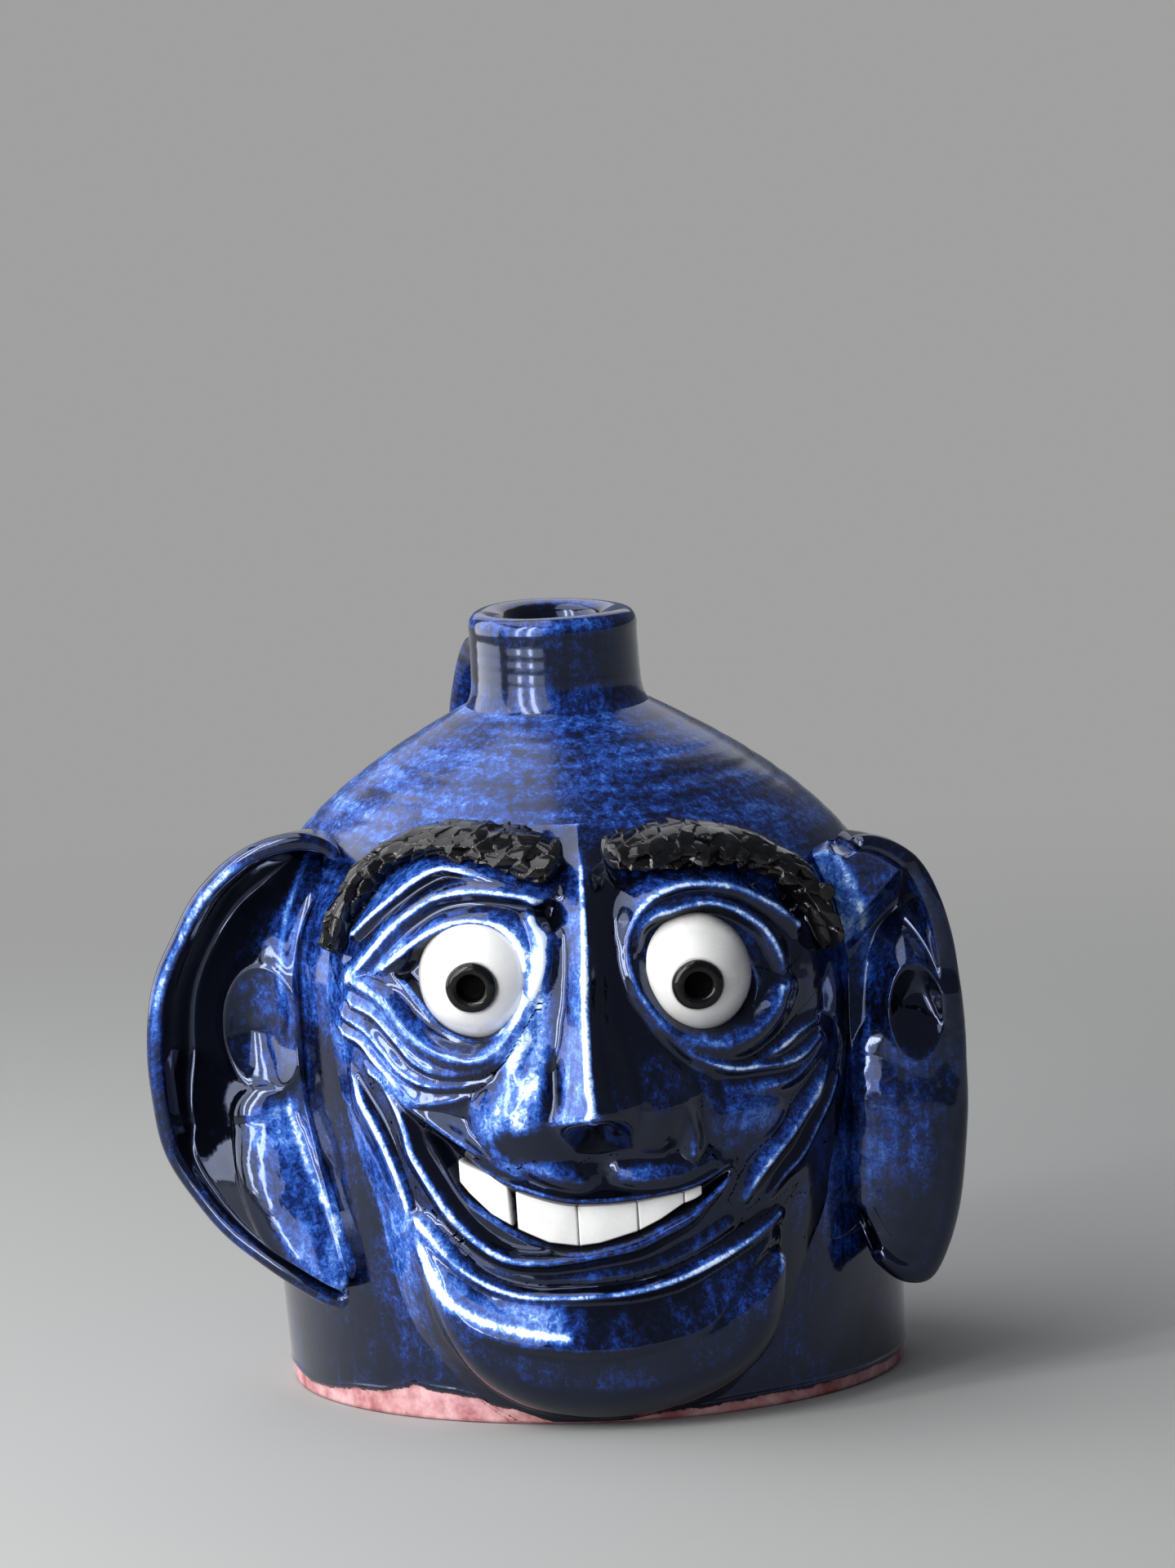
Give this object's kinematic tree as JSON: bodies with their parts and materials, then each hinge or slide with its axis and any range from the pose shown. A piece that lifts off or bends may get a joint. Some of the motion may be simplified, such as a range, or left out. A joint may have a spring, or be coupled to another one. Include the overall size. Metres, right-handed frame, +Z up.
{
  "type": "face jug",
  "caption": "Hollow thrown jug with a flat foot, domed shoulder, narrow neck, strap handle and a grinning face with bulging eyes, bared teeth and large cupped ears.",
  "frame": {"origin": "centre of the flat foot, on the surface that the jug stands on", "axes": "+Z up, -Y the way the face looks, +X towards the viewer's right"},
  "size_m": [0.1853, 0.1652, 0.174],
  "materials": {
    "blue_glaze": "glossy mottled blue, breaking to black in grooves",
    "black_glaze": "glossy black",
    "white_glaze": "glossy white"
  },
  "bodies": {
    "root": {"jug_body": "blue_glaze", "neck_collar": "blue_glaze", "strap_handle": "blue_glaze", "right_ear": "blue_glaze", "left_ear": "blue_glaze", "right_pupil": "black_glaze", "right_eyeball": "white_glaze", "left_pupil": "black_glaze", "left_eyeball": "white_glaze", "nose": "blue_glaze", "tooth_1": "white_glaze", "tooth_2": "white_glaze", "tooth_3": "white_glaze", "tooth_4": "white_glaze", "tooth_5": "white_glaze", "right_brow": "black_glaze", "left_brow": "black_glaze", "right_upper_lid": "blue_glaze", "right_lower_lid": "blue_glaze", "left_upper_lid": "blue_glaze", "left_lower_lid": "blue_glaze", "upper_lip": "blue_glaze", "lower_lip": "blue_glaze", "right_smile_fold": "blue_glaze", "left_smile_fold": "blue_glaze", "chin_fold": "blue_glaze", "chin": "blue_glaze", "right_cheek": "blue_glaze", "left_cheek": "blue_glaze"}
  },
  "joints": []
}
